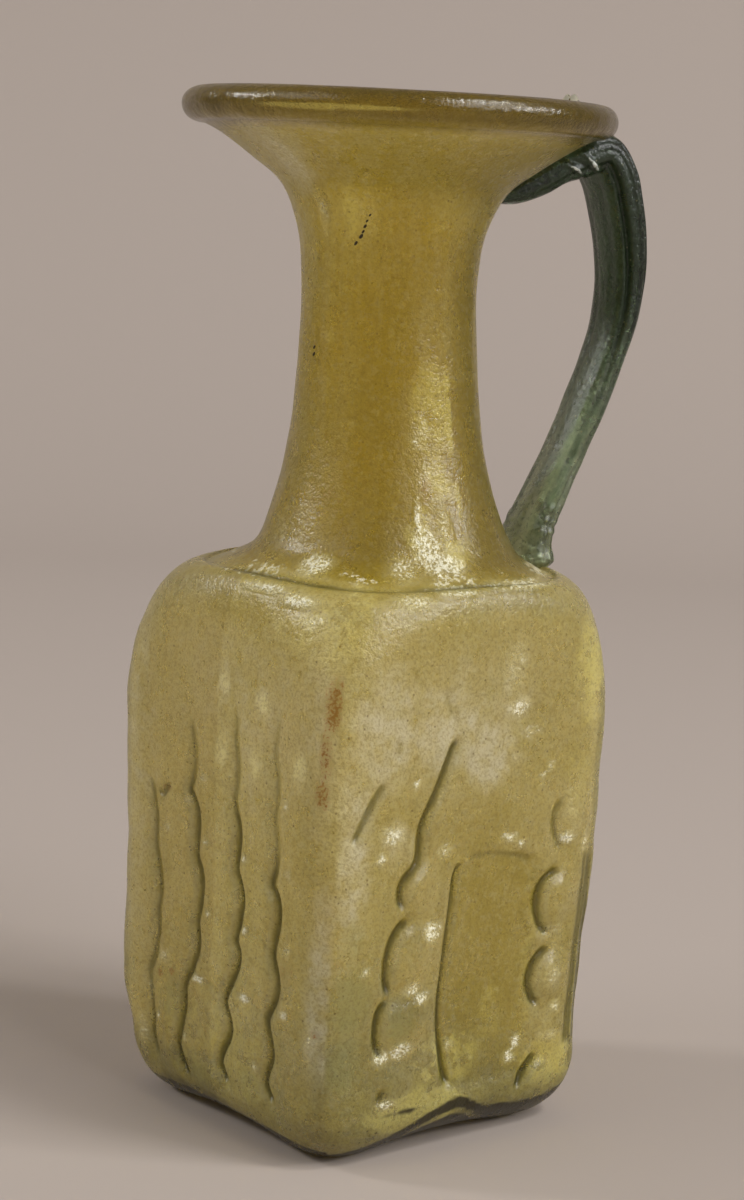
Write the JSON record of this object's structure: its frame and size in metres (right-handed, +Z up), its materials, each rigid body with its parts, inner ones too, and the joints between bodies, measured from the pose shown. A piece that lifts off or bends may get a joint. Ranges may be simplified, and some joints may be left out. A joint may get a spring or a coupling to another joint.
{
  "type": "glass jug",
  "caption": "Square-bodied blown glass jug with faint moulded relief, a slim neck, a wide folded mouth and a ribbed strap handle, for pouring.",
  "frame": {"origin": "middle of the underside, at the level that the jug stands on", "axes": "+Z up through the mouth, +X out through the face that the handle stands over, +Y out through the next face, anticlockwise from above"},
  "size_m": [0.0864, 0.0751, 0.1815],
  "materials": {
    "olive_glass": "weathered, see-through, slightly hazy",
    "blue_green_glass": "weathered, see-through, ribbed"
  },
  "bodies": {
    "root": {"vessel": "olive_glass", "handle": "blue_green_glass"}
  },
  "joints": []
}
